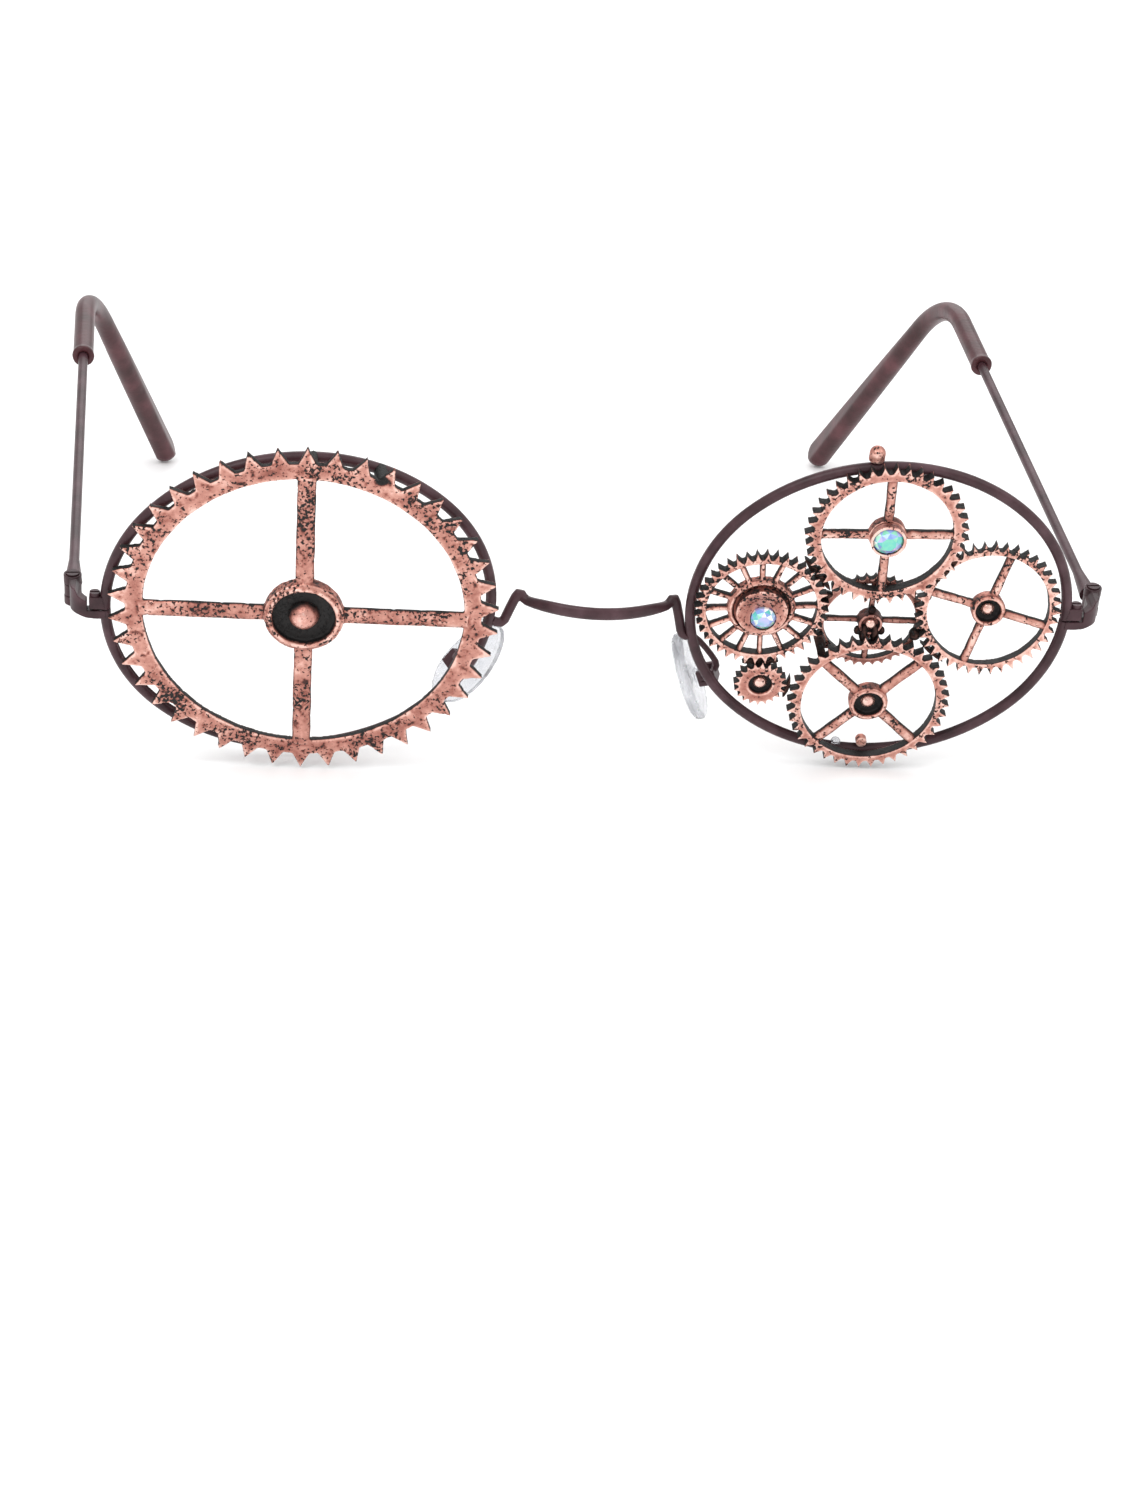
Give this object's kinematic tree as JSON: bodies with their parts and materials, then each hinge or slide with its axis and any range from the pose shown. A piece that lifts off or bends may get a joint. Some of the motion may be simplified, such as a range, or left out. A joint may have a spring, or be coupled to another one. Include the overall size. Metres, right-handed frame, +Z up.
{
  "type": "steampunk spectacles",
  "caption": "Round wire-frame spectacles with a toothed ring sprocket on one eye wire, a cluster of small gears with cut stones on the other, and folding temples.",
  "frame": {"origin": "middle of the base of the bounding box, on the table that the open spectacles stand on", "axes": "+Z up from the table, +Y back along the open temples, +X to the right as seen from the front; the front faces -Y"},
  "size_m": [0.1436, 0.1386, 0.0509],
  "materials": {
    "frame_paint": "semi-gloss chocolate brown paint on steel wire",
    "antique_copper": "antique pinkish copper plate with near-black patina in the recesses",
    "dark_solder": "blackened solder",
    "sleeve_plastic": "smooth dark brown plastic",
    "pad_plastic": "clear soft plastic",
    "cut_stone": "faceted glass with an iridescent blue-green coat",
    "clear_glue": "set clear glue"
  },
  "bodies": {
    "front": {"left_eye_wire": "frame_paint", "right_eye_wire": "frame_paint", "bridge": "frame_paint", "left_end_piece": "frame_paint", "right_end_piece": "frame_paint", "left_lock_block": "frame_paint", "right_lock_block": "frame_paint", "lock_screws": "frame_paint", "hinge_screws": "frame_paint", "left_pad_arm": "frame_paint", "right_pad_arm": "frame_paint", "pad_screws": "frame_paint", "ring_sprocket": "antique_copper", "ring_rivet": "antique_copper", "ring_mount": "dark_solder", "top_gear": "antique_copper", "outer_gear": "antique_copper", "bottom_gear": "antique_copper", "spoked_wheel": "antique_copper", "wheel_dish": "antique_copper", "pinion_gear": "antique_copper", "middle_gear": "antique_copper", "gear_rivets": "antique_copper", "stone_bezel": "antique_copper", "top_stone": "cut_stone", "wheel_stone": "cut_stone", "cluster_solder": "dark_solder", "cluster_pegs": "antique_copper", "glue_beads": "clear_glue"},
    "left_temple": {"left_temple": "frame_paint", "left_ear_sleeve": "sleeve_plastic"},
    "right_temple": {"right_temple": "frame_paint", "right_ear_sleeve": "sleeve_plastic"},
    "left_nose_pad": {"left_nose_pad": "pad_plastic"},
    "right_nose_pad": {"right_nose_pad": "pad_plastic"}
  },
  "joints": [
    {"name": "left_temple_hinge", "type": "hinge", "parent": "front", "child": "left_temple", "pos_m": [-0.06767, -0.05664, 0.02577], "axis": [0.0037, 0.1385, -0.9904], "range_deg": [0, 83]},
    {"name": "right_temple_hinge", "type": "hinge", "parent": "front", "child": "right_temple", "pos_m": [0.07063, -0.05664, 0.02627], "axis": [-0.0031, -0.1592, 0.9872], "range_deg": [0, 68]},
    {"name": "left_pad_rock", "type": "hinge", "parent": "front", "child": "left_nose_pad", "pos_m": [-0.01576, -0.05179, 0.01372], "axis": [-0.4998, 0.7283, 0.4689], "range_deg": [-10, 10]},
    {"name": "right_pad_rock", "type": "hinge", "parent": "front", "child": "right_nose_pad", "pos_m": [0.01916, -0.05071, 0.01185], "axis": [0.2582, 0.9379, 0.2315], "range_deg": [-10, 10]}
  ]
}
